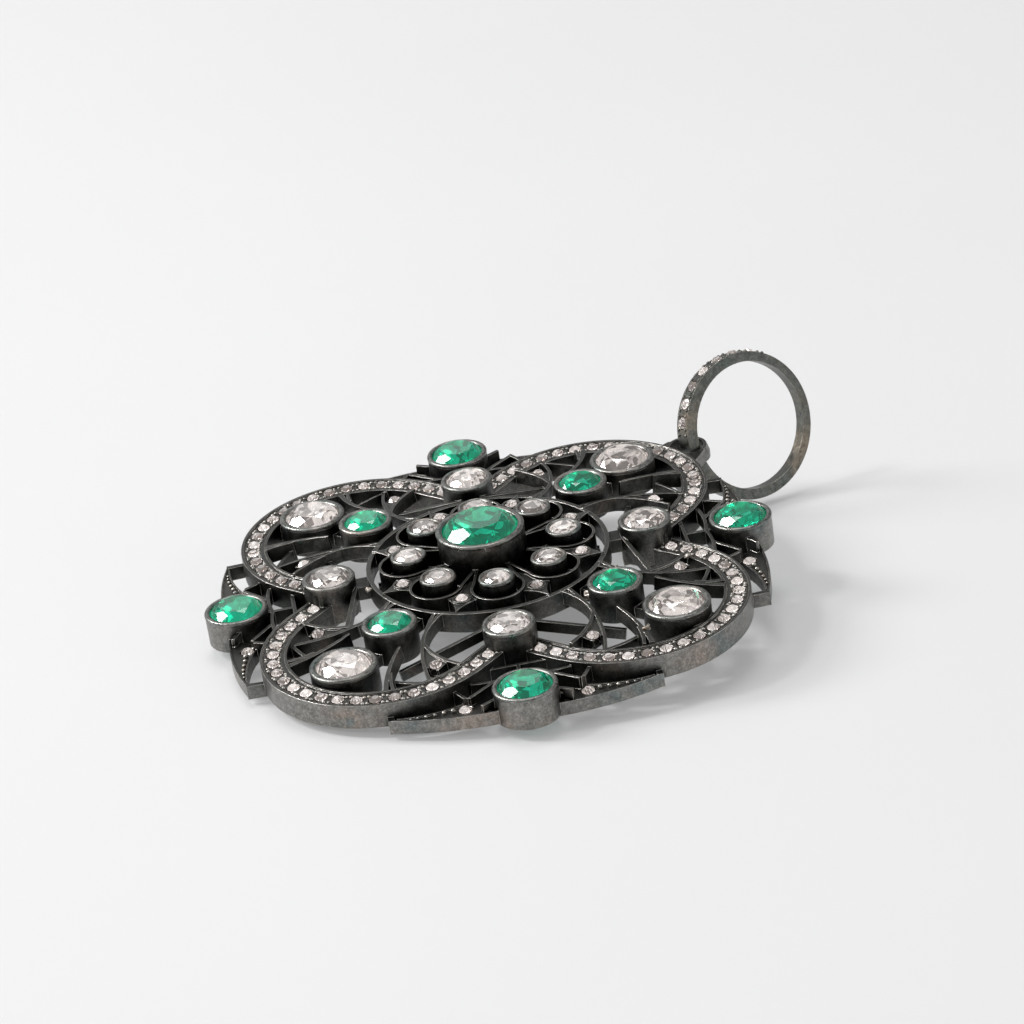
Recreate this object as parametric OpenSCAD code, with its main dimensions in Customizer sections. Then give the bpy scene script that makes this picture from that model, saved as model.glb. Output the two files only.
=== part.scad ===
// Openwork pendant of blackened metal: four pierced lobes, each edged with a band of
// small set stones, round an eight-petalled rosette, with a ring bail in an eyelet.
// Everything is laid out on a flat disc, its lobe axes along X and Y, and then tipped
// as it lies: on the two wing tips opposite the bail and on the bail ring.

/* [Rosette] */
// Girdle diameter of the emerald in the middle
centre_d = 6.1; // [5.8:0.1:6.3]
// Height of the middle bezel's rim over the level of the large diamonds' rims
centre_rim_z = 2.65; // [2.3:0.05:2.9]
// Distance of the eight rosette diamonds from the middle
rosette_r = 6.08; // [6:0.02:6.2]
// Girdle diameter of a rosette diamond
rosette_d = 2.35; // [2.1:0.05:2.35]
// Outer radius of a petal's round end
petal_end_r = 2.1; // [2:0.05:2.15]
// Distance of the eight small accent diamonds from the middle
accent_r = 7.55; // [7.45:0.05:7.7]
// Outer radius of the thin ring round the rosette
ring_r = 9.5; // [9.4:0.05:9.6]

/* [Lobes] */
// Distance of a lobe's round centre from the middle
lobe_centre = 13.1; // [13:0.05:13.2]
// Outer radius of a lobe's band
lobe_r = 9.5; // [9.45:0.05:9.6]
// Width of a lobe's band, both rims counted
band_w = 2.05; // [1.95:0.05:2.1]
// Height of a lobe's outer wall
band_h = 1.9; // [1.6:0.1:2.1]
// Number of small diamonds in each lobe's band
pave_count = 22; // [18:1:22]
// Girdle diameter of a band's small diamond
pave_d = 1; // [0.9:0.05:1.15]

/* [Large stones] */
// Girdle diameter of the four outer emeralds
outer_d = 4.3; // [4:0.1:4.4]
// Girdle diameter of the four inner emeralds
inner_d = 3.5; // [3.3:0.1:3.6]
// Girdle diameter of the four large diamonds
large_d = 4.4; // [4.2:0.1:4.6]
// Girdle diameter of the four medium diamonds
medium_d = 3.4; // [3.2:0.1:3.5]

/* [Tracery] */
// Thickness of the strips that stand on edge
strip_w = 0.26; // [0.24:0.01:0.3]
// Height of the strips in the lobes
strip_h = 1.1; // [0.9:0.1:1.2]
// Slope of the lobes' tracery, down from the ring to the band
dome_angle = 10; // [9.5:0.1:10.5]

/* [Wings] */
// Height of the level of the wings' top faces
wing_top_z = -1.75; // [-1.85:0.05:-1.65]
// Height of a wing's side wall
wing_h = 1.1; // [1.05:0.05:1.2]

/* [Bail] */
// Outer radius of the bail ring
bail_r = 6.1; // [6:0.05:6.3]
// Width of the bail ring's band along its axis, at the side of the disc
bail_w = 1.55; // [1.45:0.05:1.6]
// Number of small diamonds along the bail's front
bail_stones = 7; // [5:1:7]

/* [Hidden] */

metal = [0.22, 0.22, 0.21];
green = [0.02, 0.5, 0.32];
clear = [0.92, 0.93, 0.95];

// Clearance round a stone in its setting, and how far a setting's lip reaches over it
fit = 0.06;
lip_over = 0.08;
// Rim height over the girdle's top edge, and width of the ledge that the stone sits on
lip_h = 0.22;
ledge_w = 0.4;
// How far a band's floor lies below its rims, and the width of a rim
floor_drop = 0.12;
rim_w = 0.2;

// Proportions of a cut stone, as parts of its girdle diameter
table_part = 0.31;
star_part = 0.385;
crown_part = 0.17;
girdle_part = 0.03;
pavilion_part = 0.42;
lower_part = 0.2;
// The small stones have higher crowns and smaller tables
small_table_part = 0.27;
small_crown_part = 0.24;

// Levels of the disc
band_top_z = -0.6;
// How much lower each lobe's band and wings lie, from the lobe at -Y round to the one at -X
lobe_drops = [0, 0.3, 0.4, 0.15];
ring_top_z = 0.3;
ring_foot_z = -1.3;
ring_wall = 0.35;
petal_top_z = 0.72;
petal_floor_z = -0.7;
petal_foot_z = -0.95;
petal_wall = 0.2;
// Where the middle of a petal's round end lies, and half a petal's width at its inner end
petal_at = 6.4;
petal_root = 1.25;
accent_plate_z = 0.45;
spandrel_top_z = -1.2;
spandrel_h = 1.2;

// The set stones. Columns: distance from the middle, angle of the first, how many,
// girdle diameter, height of the bezel's rim, height of its foot, bezel's outer radius
CENTRE = [0.3, 202, 1, centre_d, centre_rim_z, ring_foot_z, 3.42];
OUTER = [19.88, -45, 4, outer_d, -0.45, -2.95, 2.43];
INNER = [12.24, -90, 4, inner_d, 0.63, -2, 2.1];
LARGE = [17.88, -90, 4, large_d, 0, -2.4, 2.58];
MEDIUM = [12.43, -45, 4, medium_d, 0.78, -2.3, 2.03];
ROSETTE = [rosette_r, -90, 8, rosette_d, 1.4, petal_foot_z, 1.38];
SETTINGS = [CENTRE, OUTER, INNER, LARGE, MEDIUM, ROSETTE];

// Small stones' seats: clearance round the girdle and depth under the surface
seat_fit = 0.07;
seat_depth = 0.62;
accent_d = 1;
trace_d = 1;
wing_d = 1.05;
// The collar that lifts an accent stone over its plate
collar_r = 0.72;
collar_top_z = 0.6;

// Bail: eyelet and ring
eyelet_at = [1.4, 24.65];
eyelet_r = 1.85;
eyelet_hole_r = 1.4;
eyelet_top_z = -1.9;
eyelet_h = 1.1;
bail_yaw = 71;
bail_lean = -17;
bail_z = -2.3;
bail_wall = 0.85;
bail_shift = 0.15;
bail_narrow = 0.25;
bail_hole_r = bail_r - bail_wall;
bail_through = [1.6, 24.85];
bail_mid_r = (bail_r + bail_hole_r - bail_shift) / 2;
bail_centre = [
    bail_through[0] + bail_mid_r * cos(bail_yaw),
    bail_through[1] + bail_mid_r * sin(bail_yaw),
    bail_z
];
bail_stone_d = 1;
bail_stone_step = 15;
bail_stone_from = 68;

// The wing's outline on the front half of the lobe at -Y: ends of its outer and inner edges
wing_root_out = [13.2, -16.2];
wing_tip_out = [6.7, -20.85];
wing_tip_in = [6.85, -20.4];
wing_root_in = [10.2, -15.9];
// The wings reach further by this, a value for the pair beside each outer emerald, along wing_way
wing_reach = [-0.15, 0.6, -0.15, 0.6];
wing_way = [0.78, -0.63];
// Where the strip that closes the wing's gap meets the lobe's wall
wing_end = [5.9, -20.1];
wing_stone_at = [10.6, -17.05];
wing_recess = 0.12;
trace_stone_at = [5.75, -14.35];
// How far the blades of the tracery lie below its strips
plate_drop = 0.15;

// The disc rests on the wing tips and the ring: its tilt and lift follow from both
wing_foot_z = wing_top_z - wing_h;
wing_low_y = (wing_tip_out + wing_reach[3] * wing_way)[1] - 0.2;
bail_out = [cos(bail_yaw), sin(bail_yaw), 0];
bail_up = [-sin(bail_lean) * -sin(bail_yaw), -sin(bail_lean) * cos(bail_yaw), cos(bail_lean)];
rest_tilt = settle(6, 12);
rest_lift = -level([0, wing_low_y, wing_foot_z], rest_tilt);
// Middle of the tipped pendant's length, which is moved to y = 0
front_y = along([0, -lobe_centre - lobe_r, band_top_z], rest_tilt);
back_y = along(bail_centre, rest_tilt)
    + bail_r * norm([along(bail_out, rest_tilt), along(bail_up, rest_tilt)])
    + (bail_w / 2 - bail_narrow) * abs(along(cross(bail_out, bail_up), rest_tilt));
rest_shift = -(front_y + back_y) / 2;

// Height and y of a point, or of a direction, once the disc is tipped by tilt
function level(p, tilt) = p[1] * sin(tilt) + p[2] * cos(tilt);
function along(p, tilt) = p[1] * cos(tilt) - p[2] * sin(tilt);
// How far the bail's lowest point lies under its centre at this tilt
function bail_reach(tilt) =
    bail_r * norm([level(bail_out, tilt), level(bail_up, tilt)])
    + (bail_w - bail_narrow) / 2 * abs(level(cross(bail_out, bail_up), tilt));
// The tilt at which the bail comes as low as the wing tips, found by steps
function settle(tilt, steps) =
    steps == 0 ? tilt
    : settle(
        asin((bail_reach(tilt) - (bail_centre[2] - wing_foot_z) * cos(tilt))
            / (bail_centre[1] - wing_low_y)),
        steps - 1
    );

function polar(r, a) = [r * cos(a), r * sin(a)];
function left_of(v) = [-v[1], v[0]] / norm(v);
// A shallow curve from a to b that bows to its left by sag at its middle
function bow(a, b, sag, steps = 8) = [
    for (i = [0:steps])
        let (t = i / steps) a + (b - a) * t + left_of(b - a) * 4 * sag * t * (1 - t)
];
function tangent(path, i) =
    let (last = len(path) - 1) path[min(i + 1, last)] - path[max(i - 1, 0)];
// The outline of a strip along a path, w0 wide at its start and w1 at its end
function ribbon(path, w0, w1) =
    let (
        last = len(path) - 1,
        half = [for (i = [0:last]) (w0 + (w1 - w0) * i / last) / 2]
    ) concat(
        [for (i = [0:last]) path[i] - left_of(tangent(path, i)) * half[i]],
        [for (i = [last:-1:0]) path[i] + left_of(tangent(path, i)) * half[i]]
    );
function ring_points(n, r, z, turn = 0) = [
    for (i = [0:n - 1]) [r * cos(turn + 360 * i / n), r * sin(turn + 360 * i / n), z]
];
function stone_place(row, i) = polar(row[0], row[1] + 360 / row[2] * i);

// Where a stone of a lobe's band sits, s millimetres along the band from the lobe's end
function band_at(r, s) =
    let (quarter = r * PI / 2)
    abs(s) <= quarter
        ? [r * sin(s / r * 180 / PI), -lobe_centre - r * cos(s / r * 180 / PI)]
        : [sign(s) * r, -lobe_centre + abs(s) - quarter];

// A round brilliant, the top edge of its girdle at z = 0
module brilliant(d) {
    r = d / 2;
    table_r = table_part * d;
    star_r = star_part * d;
    crown_z = crown_part * d;
    girdle_z = -girdle_part * d;
    culet_z = girdle_z - pavilion_part * d;
    lower_r = lower_part * d;
    step = 22.5;
    star_z = crown_z * (r - star_r * cos(step)) / (r - table_r);
    lower_z = girdle_z - pavilion_part * d * (r - lower_r * cos(step)) / r;
    points = concat(
        ring_points(8, table_r, crown_z),
        ring_points(8, star_r, star_z, step),
        ring_points(16, r, 0),
        ring_points(16, r, girdle_z),
        ring_points(8, lower_r, lower_z, step),
        [[0, 0, culet_z]]
    );
    faces = concat(
        [[for (i = [7:-1:0]) i]],
        [for (i = [0:7]) [i, (i + 1) % 8, 8 + i]],
        [for (i = [0:7]) [i, 8 + i, 16 + 2 * i, 8 + (i + 7) % 8]],
        [for (i = [0:7]) [8 + i, 17 + 2 * i, 16 + 2 * i]],
        [for (i = [0:7]) [8 + i, 16 + (2 * i + 2) % 16, 17 + 2 * i]],
        [for (i = [0:15]) [16 + i, 16 + (i + 1) % 16, 32 + (i + 1) % 16, 32 + i]],
        [for (i = [0:7]) [32 + 2 * i, 33 + 2 * i, 48 + i]],
        [for (i = [0:7]) [33 + 2 * i, 32 + (2 * i + 2) % 16, 48 + i]],
        [for (i = [0:7]) [32 + 2 * i, 48 + i, 56, 48 + (i + 7) % 8]]
    );
    polyhedron(points, faces, convexity = 2);
}

// A small stone with a table and eight facets above and below, its girdle at z = 0
module small_stone(d) {
    points = concat(
        ring_points(8, small_table_part * d, small_crown_part * d, 22.5),
        ring_points(8, d / 2, 0, 22.5),
        [[0, 0, -pavilion_part * d]]
    );
    faces = concat(
        [[for (i = [7:-1:0]) i]],
        [for (i = [0:7]) [i, (i + 1) % 8, 8 + (i + 1) % 8, 8 + i]],
        [for (i = [0:7]) [8 + i, 8 + (i + 1) % 8, 16]]
    );
    polyhedron(points, faces, convexity = 2);
}

// The outside of a bezel: a tube's wall with a softened rim
module bezel_body(row) {
    r = row[6];
    ease = 0.1;
    rotate_extrude($fn = 64)
        polygon([
            [0, row[5]], [r, row[5]], [r, row[4] - ease], [r - ease, row[4]], [0, row[4]]
        ]);
}

// The inside of a bezel: lip, groove for the girdle, ledge and an open back
module bezel_bore(row) {
    r = row[3] / 2;
    girdle_top = row[4] - lip_h;
    girdle_foot = girdle_top - girdle_part * row[3];
    ledge_z = girdle_foot - pavilion_part / 0.5 * ledge_w - fit;
    rotate_extrude($fn = 64)
        polygon([
            [0, row[5] - 1],
            [r - ledge_w, row[5] - 1],
            [r - ledge_w, ledge_z],
            [r + fit, girdle_foot - fit],
            [r + fit, girdle_top + fit],
            [r - lip_over, girdle_top + fit + lip_over],
            [r - lip_over + 0.04, row[4] + 0.5],
            [0, row[4] + 0.5]
        ]);
}

module at_stones(row) {
    for (i = [0:row[2] - 1]) translate(stone_place(row, i)) children();
}

module four_times() {
    for (i = [0:3]) rotate([0, 0, 90 * i]) children();
}

// On each lobe in turn, lowered by its drop from the height top
module each_lobe(top = 0) {
    for (i = [0:3])
        rotate([0, 0, 90 * i]) translate([0, 0, top - lobe_drops[i]]) children();
}

// Both halves of something that mirrors across a lobe's axis
module both_halves() {
    children();
    mirror([1, 0, 0]) children();
}

// A lobe's outline, grown or shrunk to radius r: a half circle with straight legs
module lobe_shape(r) {
    translate([0, -lobe_centre]) circle(r, $fn = 96);
    translate([-r, -lobe_centre]) square([2 * r, lobe_centre - 9.2]);
}

module band() {
    inner_r = lobe_r - band_w;
    difference() {
        translate([0, 0, -band_h])
            linear_extrude(band_h) difference() {
                lobe_shape(lobe_r);
                lobe_shape_open(inner_r);
            }
        translate([0, 0, -floor_drop])
            linear_extrude(1) difference() {
                lobe_shape(lobe_r - rim_w);
                lobe_shape_open(inner_r + rim_w);
            }
    }
}

// The same outline run on past the legs' ends, to clear the space between them
module lobe_shape_open(r) {
    translate([0, -lobe_centre]) circle(r, $fn = 96);
    translate([-r, -lobe_centre]) square([2 * r, lobe_centre - 6]);
}

// Strips and plates of one half of a lobe, drawn on the sloping plane
long_strip = bow([1.9, -9.25], [7.25, -16.6], -0.95, 10);
upper_strip = bow([3, -12.45], [7.65, -13.75], -0.45, 8);
module tracery_half() {
    polygon(ribbon(long_strip, strip_w, strip_w));
    polygon(ribbon(upper_strip, strip_w, strip_w));
    polygon(ribbon(bow([2.5, -9.1], [3.15, -12.6], -0.3, 5), strip_w, strip_w));
    polygon(ribbon(bow([3.6, -17.3], [7, -16.2], -0.15, 5), strip_w, strip_w));
}

// The blade between the two strips, which carries the small diamond
module tracery_plate() {
    polygon(concat(
        [for (i = [0:6]) upper_strip[i]],
        [[6.3, -14.8]],
        [for (i = [7:-1:4]) long_strip[i]]
    ));
}

module spur() {
    polygon(ribbon(bow([4.75, -19.2], [2.45, -14.4], 0.3, 8), 0.4, 0.2));
    polygon(ribbon(bow([5.25, -18.85], [3.7, -17.2], 0.1, 3), strip_w, strip_w));
}

// A straight bar, a to b along the middle of its top edge
module bar(a, b, w, h) {
    run = b - a;
    yaw = atan2(run[1], run[0]);
    pitch = asin((a[2] - b[2]) / norm(run));
    translate(a) rotate([0, pitch, yaw]) translate([0, -w / 2, -h]) cube([norm(run), w, h]);
}

// The plane that the tracery lies on: at the ring's top by the ring, falling outwards
module on_slope(lift = 0) {
    translate([0, 0, ring_top_z - 0.05 + ring_r * sin(dome_angle) + lift])
        rotate([dome_angle, 0, 0]) children();
}

module lobe_tracery() {
    spur_lift = 0.7;
    spur_h = 1.2;
    on_slope() translate([0, 0, -strip_h]) linear_extrude(strip_h) both_halves() tracery_half();
    on_slope(-plate_drop) translate([0, 0, plate_drop - strip_h])
        linear_extrude(strip_h - plate_drop) both_halves() tracery_plate();
    on_slope(spur_lift) translate([0, 0, -spur_h]) linear_extrude(spur_h) both_halves() spur();
    both_halves() bar([6.9, -7.95, -0.05], [2.85, -15.1, -1.5], 0.34, 0.85);
}

// Webs that join neighbouring bezels, the ring and the band along a radius
module web(from_r, to_r, w, top, foot) {
    translate([from_r, -w / 2, foot]) cube([to_r - from_r, w, top - foot]);
}

module webs() {
    for (a = [0:90:270]) rotate([0, 0, a]) {
        web(ring_r - 0.2, INNER[0] - inner_d / 2 - 0.1, 1.7, -0.35, ring_foot_z);
        web(INNER[0] + inner_d / 2 + 0.1, LARGE[0] - large_d / 2 - 0.1, 1.2, -1, -1.9);
        web(LARGE[0] + large_d / 2 + 0.1, lobe_centre + lobe_r - band_w + 0.2, 2.4, -1, -2.2);
    }
    for (a = [45:90:315]) rotate([0, 0, a])
        web(ring_r - 0.2, MEDIUM[0] - medium_d / 2 - 0.1, 1.6, -0.2, ring_foot_z);
}

// Strips between two lobes, drawn on the side of the lobe at -Y
module spandrel_half() {
    polygon(ribbon(bow([12.1, -12.1], [9.4, -14.75], 0.2, 5), strip_w, strip_w));
    polygon(ribbon(bow([10.8, -13.7], [10.55, -16.4], 0, 1), strip_w, strip_w));
    polygon(ribbon(bow([9, -16.15], [10.7, -16.65], 0, 1), strip_w, strip_w));
    polygon(ribbon(bow([9.35, -12.45], [10.95, -10.85], 0, 1), strip_w, strip_w));
    polygon(ribbon(bow([12.4, -15.7], [12.1, -16.9], 0, 1), strip_w, strip_w));
    polygon(ribbon(bow([10.8, -10.8], [12.5, -12.5], 0, 1), strip_w, strip_w));
}

// A wing on the positive side of the lobe at -Y, its tip moved out by reach
module wing(reach) {
    tip_out = wing_tip_out + reach * wing_way;
    edge_out = bow(wing_root_out, tip_out, 0.4, 8);
    edge_in = bow(wing_tip_in + reach * wing_way, wing_root_in, -0.45, 8);
    difference() {
        translate([0, 0, wing_foot_z]) linear_extrude(wing_h) {
            polygon(concat(edge_out, edge_in));
            polygon(ribbon(bow(tip_out, wing_end, 0, 1), 0.5, 0.4));
        }
        translate([0, 0, wing_top_z - wing_recess]) linear_extrude(1) difference() {
            polygon(concat(edge_out, edge_in));
            polygon(ribbon(edge_out, strip_w, strip_w));
            polygon(ribbon(edge_in, strip_w, strip_w));
        }
    }
}

// Each outer emerald lies between one lobe's wing and the mirrored wing of the next lobe
module wings() {
    for (i = [0:3]) rotate([0, 0, 90 * i]) {
        translate([0, 0, -lobe_drops[i]]) wing(wing_reach[i]);
        translate([0, 0, -lobe_drops[i]]) mirror([1, 0, 0]) wing(wing_reach[(i + 3) % 4]);
    }
}

module rosette_shape(r, half_foot) {
    translate([petal_at, 0]) circle(r, $fn = 48);
    polygon([[petal_at, -r], [petal_at, r], [3, half_foot], [3, -half_foot]]);
}

// The plate between two petals, drawn out to a point at the ring
module kite() {
    flank = bow([7.4, 1.25], [ring_r - 0.1, 0], -0.2, 4);
    difference() {
        polygon(concat([[4.6, 0]], [for (p = flank) [p[0], -p[1]]],
            [for (i = [3:-1:0]) flank[i]]));
        for (side = [-22.5, 22.5])
            rotate(side) rosette_shape(petal_end_r - petal_wall / 2, petal_root - petal_wall / 2);
    }
}

module rosette() {
    difference() {
        translate([0, 0, petal_foot_z]) linear_extrude(petal_top_z - petal_foot_z)
            for (i = [0:7]) rotate(45 * i) rosette_shape(petal_end_r, petal_root);
        translate([0, 0, petal_floor_z]) linear_extrude(2)
            for (i = [0:7]) rotate(45 * i)
                rosette_shape(petal_end_r - petal_wall, petal_root - petal_wall);
    }
    translate([0, 0, petal_foot_z]) linear_extrude(accent_plate_z - petal_foot_z)
        for (i = [0:7]) rotate(45 * i + 22.5) kite();
    for (i = [0:7]) rotate(45 * i + 22.5) translate([accent_r, 0, petal_foot_z])
        cylinder(r = collar_r, h = collar_top_z - petal_foot_z, $fn = 32);
}

module ring() {
    translate([0, 0, ring_foot_z]) linear_extrude(ring_top_z - ring_foot_z) difference() {
        circle(ring_r, $fn = 96);
        circle(ring_r - ring_wall, $fn = 96);
    }
}

module eyelet() {
    translate([eyelet_at[0], eyelet_at[1], eyelet_top_z]) rotate_extrude($fn = 48)
        polygon([[0, -eyelet_h], [eyelet_r, -eyelet_h], [eyelet_r, 0.5 - eyelet_h],
            [eyelet_hole_r + 0.25, 0], [0, 0]]);
    // The lug flares towards the lobe's wall
    lug_end = 2.5;
    translate([eyelet_at[0], 0, eyelet_top_z - eyelet_h]) linear_extrude(eyelet_h)
        polygon([
            [-lug_end, lobe_centre + lobe_r - 1], [lug_end, lobe_centre + lobe_r - 1],
            [eyelet_r - 0.05, eyelet_at[1]], [0.05 - eyelet_r, eyelet_at[1]]
        ]);
}

band_stone_r = lobe_r - band_w / 2 + 0.05;
band_stone_reach = band_stone_r * PI / 2 + 1.8;
function band_stone_at(i) =
    band_at(band_stone_r, band_stone_reach * (2 * i / (pave_count - 1) - 1));

// Round seats for the small stones, sunk from level top
module seat(at, d, top) {
    translate([at[0], at[1], top - seat_depth])
        cylinder(r = d / 2 + seat_fit, h = seat_depth + 1, $fn = 24);
}

module small_seats() {
    each_lobe(band_top_z)
        for (i = [0:pave_count - 1]) seat(band_stone_at(i), pave_d, -floor_drop);
    each_lobe() both_halves() seat(wing_stone_at, wing_d, wing_top_z - wing_recess);
    four_times() both_halves() on_slope(-plate_drop) seat(trace_stone_at, trace_d, 0);
    for (i = [0:7]) seat(polar(accent_r, 45 * i + 22.5), accent_d, collar_top_z);
}

module disc_metal() {
    difference() {
        union() {
            rosette();
            ring();
            each_lobe(band_top_z) band();
            wings();
            four_times() {
                lobe_tracery();
                translate([0, 0, spandrel_top_z - spandrel_h]) linear_extrude(spandrel_h)
                    both_halves() spandrel_half();
            }
            webs();
            for (row = SETTINGS) at_stones(row) bezel_body(row);
            eyelet();
        }
        for (row = SETTINGS) at_stones(row) bezel_bore(row);
        small_seats();
        translate([eyelet_at[0], eyelet_at[1], -5]) cylinder(r = eyelet_hole_r, h = 10, $fn = 48);
    }
}

// The bail's own frame: x points away from the disc and y up, with its axis along z
module in_bail() {
    translate(bail_centre) rotate([0, 0, bail_yaw]) rotate([90 + bail_lean, 0, 0]) children();
}

function bail_stone_angle(i) = bail_stone_from + bail_stone_step * i;

module bail_metal() {
    difference() {
        intersection() {
            translate([0, 0, -bail_w / 2]) linear_extrude(bail_w) difference() {
                circle(bail_r, $fn = 96);
                translate([bail_shift, 0]) circle(bail_hole_r, $fn = 96);
            }
            rotate([90, 0, 0]) translate([0, 0, -bail_r - 1]) linear_extrude(2 * bail_r + 2)
                polygon([
                    [-bail_r, -bail_w / 2], [bail_r, bail_narrow - bail_w / 2],
                    [bail_r, bail_w / 2 - bail_narrow], [-bail_r, bail_w / 2]
                ]);
        }
        for (i = [0:bail_stones - 1]) rotate([0, 0, bail_stone_angle(i)])
            translate([bail_r - 0.55, 0, 0]) rotate([0, 90, 0])
                cylinder(r = bail_stone_d / 2 + 0.06, h = 2, $fn = 24);
    }
}

// Tips the disc as it rests, lifts its lowest points to z = 0 and centres it along y
module at_rest() {
    translate([0, rest_shift, rest_lift]) rotate([rest_tilt, 0, 0]) children();
}

module set_stone(row, i, tint) {
    color(tint) at_rest() translate(stone_place(row, i)) translate([0, 0, row[4] - lip_h])
        brilliant(row[3]);
}

module openwork_frame() {
    color(metal) at_rest() disc_metal();
}

module bail_ring() {
    color(metal) at_rest() in_bail() bail_metal();
}

module accent_diamonds() {
    color(clear) at_rest() for (i = [0:7])
        rotate(45 * i + 22.5) translate([accent_r, 0, collar_top_z - 0.02]) small_stone(accent_d);
}

module tracery_diamonds() {
    color(clear) at_rest() four_times() both_halves()
        on_slope(-plate_drop) translate(trace_stone_at) small_stone(trace_d);
}

module wing_diamonds() {
    color(clear) at_rest() each_lobe(wing_top_z - wing_recess) both_halves()
        translate(wing_stone_at) small_stone(wing_d);
}

module bail_diamonds() {
    color(clear) at_rest() in_bail() for (i = [0:bail_stones - 1])
        rotate([0, 0, bail_stone_angle(i)]) translate([bail_r - 0.05, 0, 0])
            rotate([0, 90, 0]) small_stone(bail_stone_d);
}

module band_diamonds(lobe) {
    stone_z = band_top_z - lobe_drops[lobe] - floor_drop + 0.02;
    color(clear) at_rest() rotate([0, 0, 90 * lobe]) for (i = [0:pave_count - 1])
        translate([band_stone_at(i)[0], band_stone_at(i)[1], stone_z]) small_stone(pave_d);
}

openwork_frame();
bail_ring();
set_stone(CENTRE, 0, green);  // centre_emerald
set_stone(OUTER, 0, green);  // outer_emerald_1
set_stone(OUTER, 1, green);  // outer_emerald_2
set_stone(OUTER, 2, green);  // outer_emerald_3
set_stone(OUTER, 3, green);  // outer_emerald_4
set_stone(INNER, 0, green);  // inner_emerald_1
set_stone(INNER, 1, green);  // inner_emerald_2
set_stone(INNER, 2, green);  // inner_emerald_3
set_stone(INNER, 3, green);  // inner_emerald_4
set_stone(LARGE, 0, clear);  // large_diamond_1
set_stone(LARGE, 1, clear);  // large_diamond_2
set_stone(LARGE, 2, clear);  // large_diamond_3
set_stone(LARGE, 3, clear);  // large_diamond_4
set_stone(MEDIUM, 0, clear);  // medium_diamond_1
set_stone(MEDIUM, 1, clear);  // medium_diamond_2
set_stone(MEDIUM, 2, clear);  // medium_diamond_3
set_stone(MEDIUM, 3, clear);  // medium_diamond_4
set_stone(ROSETTE, 0, clear);  // rosette_diamond_1
set_stone(ROSETTE, 1, clear);  // rosette_diamond_2
set_stone(ROSETTE, 2, clear);  // rosette_diamond_3
set_stone(ROSETTE, 3, clear);  // rosette_diamond_4
set_stone(ROSETTE, 4, clear);  // rosette_diamond_5
set_stone(ROSETTE, 5, clear);  // rosette_diamond_6
set_stone(ROSETTE, 6, clear);  // rosette_diamond_7
set_stone(ROSETTE, 7, clear);  // rosette_diamond_8
accent_diamonds();
tracery_diamonds();
wing_diamonds();
bail_diamonds();
band_diamonds(0);  // band_diamonds_1
band_diamonds(1);  // band_diamonds_2
band_diamonds(2);  // band_diamonds_3
band_diamonds(3);  // band_diamonds_4
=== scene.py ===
"""Looks of an openwork pendant of blackened metal, set with emeralds and diamonds.

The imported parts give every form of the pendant. This script dresses them, adds the worn lips
of the stone settings, the bead grains between the small stones and the solder at the joints,
and sets up the table, the light and the camera.
"""

import logging
import math
import random
from dataclasses import dataclass, field
from enum import Enum
from typing import Callable, Iterable

import bmesh
import bpy
from mathutils import Matrix, Vector, noise


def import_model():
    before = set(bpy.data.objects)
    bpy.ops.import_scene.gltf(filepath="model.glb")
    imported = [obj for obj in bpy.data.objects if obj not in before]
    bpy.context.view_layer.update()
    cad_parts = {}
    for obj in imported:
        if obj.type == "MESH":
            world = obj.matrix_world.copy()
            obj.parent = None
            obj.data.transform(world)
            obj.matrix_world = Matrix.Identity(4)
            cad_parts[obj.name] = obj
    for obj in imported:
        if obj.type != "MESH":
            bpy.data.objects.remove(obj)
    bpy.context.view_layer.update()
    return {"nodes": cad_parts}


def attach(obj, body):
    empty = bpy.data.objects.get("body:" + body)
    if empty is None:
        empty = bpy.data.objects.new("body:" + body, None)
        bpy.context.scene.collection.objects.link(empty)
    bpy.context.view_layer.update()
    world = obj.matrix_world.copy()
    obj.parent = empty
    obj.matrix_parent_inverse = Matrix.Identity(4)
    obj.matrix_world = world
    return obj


LOG = logging.getLogger("pendant")
MM = 0.001
NOISE_SEED = 5

# How fine each noise texture is, in waves per metre
WEAR_NOISE = 1400.0
BROWN_NOISE = 260.0
GREEN_NOISE = 330.0
MOTTLE_NOISE = 1900.0
SPECK_NOISE = 6500.0
WAVE_NOISE = 900.0
GRIT_NOISE = 7000.0
STONE_CLOUD_NOISE = 700.0
CRINKLE_NOISE = 2600.0
PAPER_NOISE = 12.0

# Places of the colour sockets of a Mix node
MIX_FIRST, MIX_SECOND, MIX_RESULT = 6, 7, 2

# How far each lobe's band and wings lie below the front lobe's, in millimetres
LOBE_DROPS = (0.0, 0.3, 0.4, 0.15)

Point = tuple[float, float, float]
Colour = tuple[float, float, float, float]


class Shade(Enum):
    """What a value of a shader group's socket is."""

    VALUE = "NodeSocketFloat"
    COLOUR = "NodeSocketColor"
    VECTOR = "NodeSocketVector"


@dataclass(frozen=True)
class Rest:
    """How the flat layout of the disc lies on the table."""

    tilt_deg: float = 6.13863
    shift_mm: float = -6.86273
    lift_mm: float = 5.12505

    def matrix(self) -> Matrix:
        """The move from the disc's own layout, in millimetres, to the row frame in metres."""
        place = Matrix.Translation((0, self.shift_mm, self.lift_mm))
        turn = Matrix.Rotation(math.radians(self.tilt_deg), 4, "X")
        return Matrix.Scale(MM, 4) @ place @ turn


REST = Rest()


# Shader groups


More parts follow.
